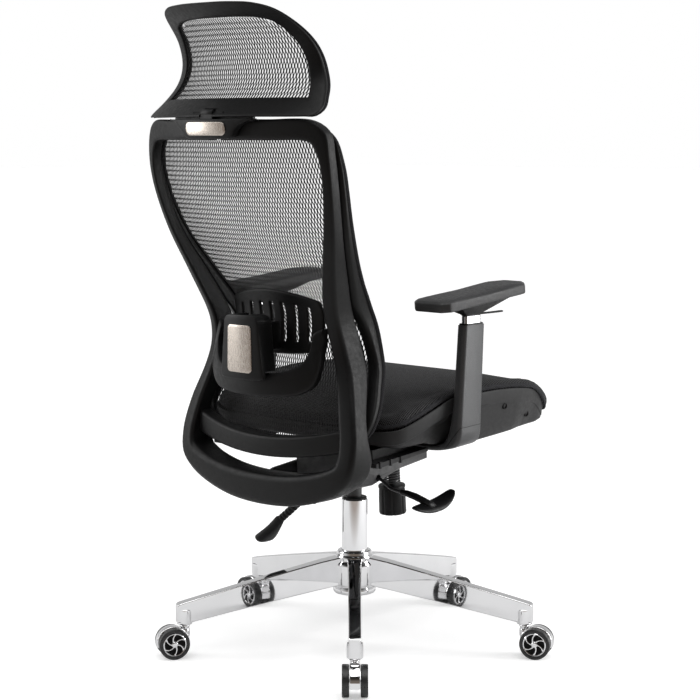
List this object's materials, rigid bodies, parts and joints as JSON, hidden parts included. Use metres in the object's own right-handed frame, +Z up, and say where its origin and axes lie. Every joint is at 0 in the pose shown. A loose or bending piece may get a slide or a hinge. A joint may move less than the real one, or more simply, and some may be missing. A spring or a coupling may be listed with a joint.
{
  "type": "swivel office chair",
  "caption": "Swivel office chair with a mesh back and headrest, padded fabric seat, lumbar pad, height-adjustable arms and a chromed star base on twin-wheel castors.",
  "frame": {"origin": "on the floor, under the middle of the chair's box", "axes": "+Z up; the chair faces -Y; +X is the sitter's left"},
  "size_m": [0.7458, 0.7827, 1.199],
  "materials": {
    "chrome": "polished chrome plating",
    "steel": "plain turned steel",
    "tyre": "smooth dark tread with a plated cap on the hub",
    "black_steel": "black powder coat",
    "black_plastic": "fine matte grain",
    "charcoal_plastic": "fine matte grain, a little lighter",
    "seat_fabric": "knitted spacer fabric",
    "mesh_fabric": "open zig-zag mesh, seen through",
    "champagne_metal": "satin, warm silver",
    "graphite": "satin graphite with a fine metallic fleck",
    "soft_pad": "soft moulded foam skin, fine grain"
  },
  "bodies": {
    "base": {"base_star": "chrome", "column_tube": "chrome", "column_bushing": "black_plastic"},
    "castor_1": {"castor_1_body": "chrome", "castor_1_axle": "steel"},
    "wheel_1_a": {"castor_1_wheel_a": "tyre"},
    "wheel_1_b": {"castor_1_wheel_b": "tyre"},
    "castor_2": {"castor_2_body": "chrome", "castor_2_axle": "steel"},
    "wheel_2_a": {"castor_2_wheel_a": "tyre"},
    "wheel_2_b": {"castor_2_wheel_b": "tyre"},
    "castor_3": {"castor_3_body": "chrome", "castor_3_axle": "steel"},
    "wheel_3_a": {"castor_3_wheel_a": "tyre"},
    "wheel_3_b": {"castor_3_wheel_b": "tyre"},
    "castor_4": {"castor_4_body": "chrome", "castor_4_axle": "steel"},
    "wheel_4_a": {"castor_4_wheel_a": "tyre"},
    "wheel_4_b": {"castor_4_wheel_b": "tyre"},
    "castor_5": {"castor_5_body": "chrome", "castor_5_axle": "steel"},
    "wheel_5_a": {"castor_5_wheel_a": "tyre"},
    "wheel_5_b": {"castor_5_wheel_b": "tyre"},
    "gas_lift": {"gas_rod": "black_steel"},
    "seat": {"mechanism_housing": "black_steel", "mechanism_plate": "black_steel", "tension_spring": "black_steel", "seat_shell": "charcoal_plastic", "seat_cushion": "seat_fabric", "recline_pin": "steel", "arm_left_upright": "graphite", "arm_right_upright": "graphite"},
    "tension_knob": {"tension_knob": "black_plastic"},
    "lift_lever": {"lift_lever_rod": "black_steel", "lift_lever_paddle": "black_plastic"},
    "tilt_lever": {"tilt_lever_rod": "black_plastic", "tilt_lever_handle": "black_plastic"},
    "back": {"back_carrier": "black_steel", "rear_frame": "black_plastic", "mesh_frame": "black_plastic", "back_crossbar": "black_plastic", "back_mesh": "mesh_fabric", "lumbar_bracket": "black_plastic"},
    "lumbar": {"lumbar_slider": "black_plastic", "lumbar_insert": "champagne_metal", "lumbar_pad": "black_plastic"},
    "neck": {"headrest_neck": "black_plastic", "neck_insert": "champagne_metal", "headrest_pin": "steel"},
    "headrest": {"headrest_frame": "black_plastic", "headrest_mesh": "mesh_fabric"},
    "arm_left_lift": {"arm_left_post": "chrome", "arm_left_carrier": "black_plastic"},
    "arm_left_trigger": {"arm_left_trigger": "black_plastic"},
    "arm_left_pad": {"arm_left_pad": "soft_pad"},
    "arm_right_lift": {"arm_right_post": "chrome", "arm_right_carrier": "black_plastic"},
    "arm_right_trigger": {"arm_right_trigger": "black_plastic"},
    "arm_right_pad": {"arm_right_pad": "soft_pad"}
  },
  "joints": [
    {"name": "castor_1_swivel", "type": "hinge", "parent": "base", "child": "castor_1", "pos_m": [-0.24047, 0.245, 0.08], "axis": [0, 0, 1], "continuous": true},
    {"name": "wheel_1_a_roll", "type": "hinge", "parent": "castor_1", "child": "wheel_1_a", "pos_m": [-0.25684, 0.26256, 0.029], "axis": [-0.7314, -0.682, 0], "continuous": true},
    {"name": "wheel_1_b_roll", "type": "hinge", "parent": "castor_1", "child": "wheel_1_b", "pos_m": [-0.25684, 0.26256, 0.029], "axis": [-0.7314, -0.682, 0], "continuous": true},
    {"name": "castor_2_swivel", "type": "hinge", "parent": "base", "child": "castor_2", "pos_m": [-0.31561, -0.14158, 0.08], "axis": [0, 0, 1], "continuous": true},
    {"name": "wheel_2_a_roll", "type": "hinge", "parent": "castor_2", "child": "wheel_2_a", "pos_m": [-0.33736, -0.15172, 0.029], "axis": [0.4226, -0.9063, 0], "continuous": true},
    {"name": "wheel_2_b_roll", "type": "hinge", "parent": "castor_2", "child": "wheel_2_b", "pos_m": [-0.33736, -0.15172, 0.029], "axis": [0.4226, -0.9063, 0], "continuous": true},
    {"name": "castor_3_swivel", "type": "hinge", "parent": "base", "child": "castor_3", "pos_m": [0.02883, -0.3325, 0.08], "axis": [0, 0, 1], "continuous": true},
    {"name": "wheel_3_a_roll", "type": "hinge", "parent": "castor_3", "child": "wheel_3_a", "pos_m": [0.03175, -0.35632, 0.029], "axis": [0.9925, 0.1219, 0], "continuous": true},
    {"name": "wheel_3_b_roll", "type": "hinge", "parent": "castor_3", "child": "wheel_3_b", "pos_m": [0.03175, -0.35632, 0.029], "axis": [0.9925, 0.1219, 0], "continuous": true},
    {"name": "castor_4_swivel", "type": "hinge", "parent": "base", "child": "castor_4", "pos_m": [0.31685, -0.06392, 0.08], "axis": [0, 0, 1], "continuous": true},
    {"name": "wheel_4_a_roll", "type": "hinge", "parent": "castor_4", "child": "wheel_4_a", "pos_m": [0.3404, -0.0685, 0.029], "axis": [0.1908, 0.9816, 0], "continuous": true},
    {"name": "wheel_4_b_roll", "type": "hinge", "parent": "castor_4", "child": "wheel_4_b", "pos_m": [0.3404, -0.0685, 0.029], "axis": [0.1908, 0.9816, 0], "continuous": true},
    {"name": "castor_5_swivel", "type": "hinge", "parent": "base", "child": "castor_5", "pos_m": [0.15041, 0.293, 0.08], "axis": [0, 0, 1], "continuous": true},
    {"name": "wheel_5_a_roll", "type": "hinge", "parent": "castor_5", "child": "wheel_5_a", "pos_m": [0.16205, 0.31399, 0.029], "axis": [-0.8746, 0.4848, 0], "continuous": true},
    {"name": "wheel_5_b_roll", "type": "hinge", "parent": "castor_5", "child": "wheel_5_b", "pos_m": [0.16205, 0.31399, 0.029], "axis": [-0.8746, 0.4848, 0], "continuous": true},
    {"name": "seat_height", "type": "slide", "parent": "base", "child": "gas_lift", "axis": [0, 0, 1], "range_m": [0, 0.1]},
    {"name": "seat_swivel", "type": "hinge", "parent": "gas_lift", "child": "seat", "pos_m": [-0.012, 0, 0.334], "axis": [0, 0, 1], "continuous": true},
    {"name": "tension_turn", "type": "hinge", "parent": "seat", "child": "tension_knob", "pos_m": [-0.012, -0.109, 0.2644], "axis": [0, 0.0645, 0.9979], "continuous": true},
    {"name": "lift_lever_pull", "type": "hinge", "parent": "seat", "child": "lift_lever", "pos_m": [-0.066, 0, 0.328], "axis": [0, 1, 0], "range_deg": [0, 6], "stiffness_Nm_per_rad": 0.5, "springref_deg": -14.32},
    {"name": "tilt_lever_turn", "type": "hinge", "parent": "seat", "child": "tilt_lever", "pos_m": [0.038, 0.06, 0.306], "axis": [0, -1, 0], "range_deg": [0, 12]},
    {"name": "back_recline", "type": "hinge", "parent": "seat", "child": "back", "pos_m": [-0.012, 0.06, 0.35], "axis": [-1, 0, 0], "range_deg": [0, 20], "stiffness_Nm_per_rad": 40, "springref_deg": -34.38},
    {"name": "lumbar_height", "type": "slide", "parent": "back", "child": "lumbar", "axis": [0, 0.342, 0.9397], "range_m": [0, 0.025]},
    {"name": "headrest_height", "type": "slide", "parent": "back", "child": "neck", "axis": [0, 0, 1], "range_m": [0, 0.02]},
    {"name": "headrest_tilt", "type": "hinge", "parent": "neck", "child": "headrest", "pos_m": [-0.012, 0.371, 1.011], "axis": [-1, 0, 0], "range_deg": [0, 15]},
    {"name": "arm_left_height", "type": "slide", "parent": "seat", "child": "arm_left_lift", "axis": [0, 0, 1], "range_m": [0, 0.07]},
    {"name": "arm_left_trigger_press", "type": "hinge", "parent": "arm_left_lift", "child": "arm_left_trigger", "pos_m": [0.2535, -0.0465, 0.651], "axis": [-1, 0, 0], "range_deg": [0, 5], "stiffness_Nm_per_rad": 0.05, "springref_deg": -5.73},
    {"name": "arm_left_pad_slide", "type": "slide", "parent": "arm_left_lift", "child": "arm_left_pad", "axis": [0, -0.9952, 0.0976], "range_m": [-0.02, 0.025]},
    {"name": "arm_right_height", "type": "slide", "parent": "seat", "child": "arm_right_lift", "axis": [0, 0, 1], "range_m": [0, 0.07]},
    {"name": "arm_right_trigger_press", "type": "hinge", "parent": "arm_right_lift", "child": "arm_right_trigger", "pos_m": [-0.2775, -0.0465, 0.651], "axis": [-1, 0, 0], "range_deg": [0, 5], "stiffness_Nm_per_rad": 0.05, "springref_deg": -5.73},
    {"name": "arm_right_pad_slide", "type": "slide", "parent": "arm_right_lift", "child": "arm_right_pad", "axis": [0, -0.9952, 0.0976], "range_m": [-0.02, 0.025]}
  ]
}
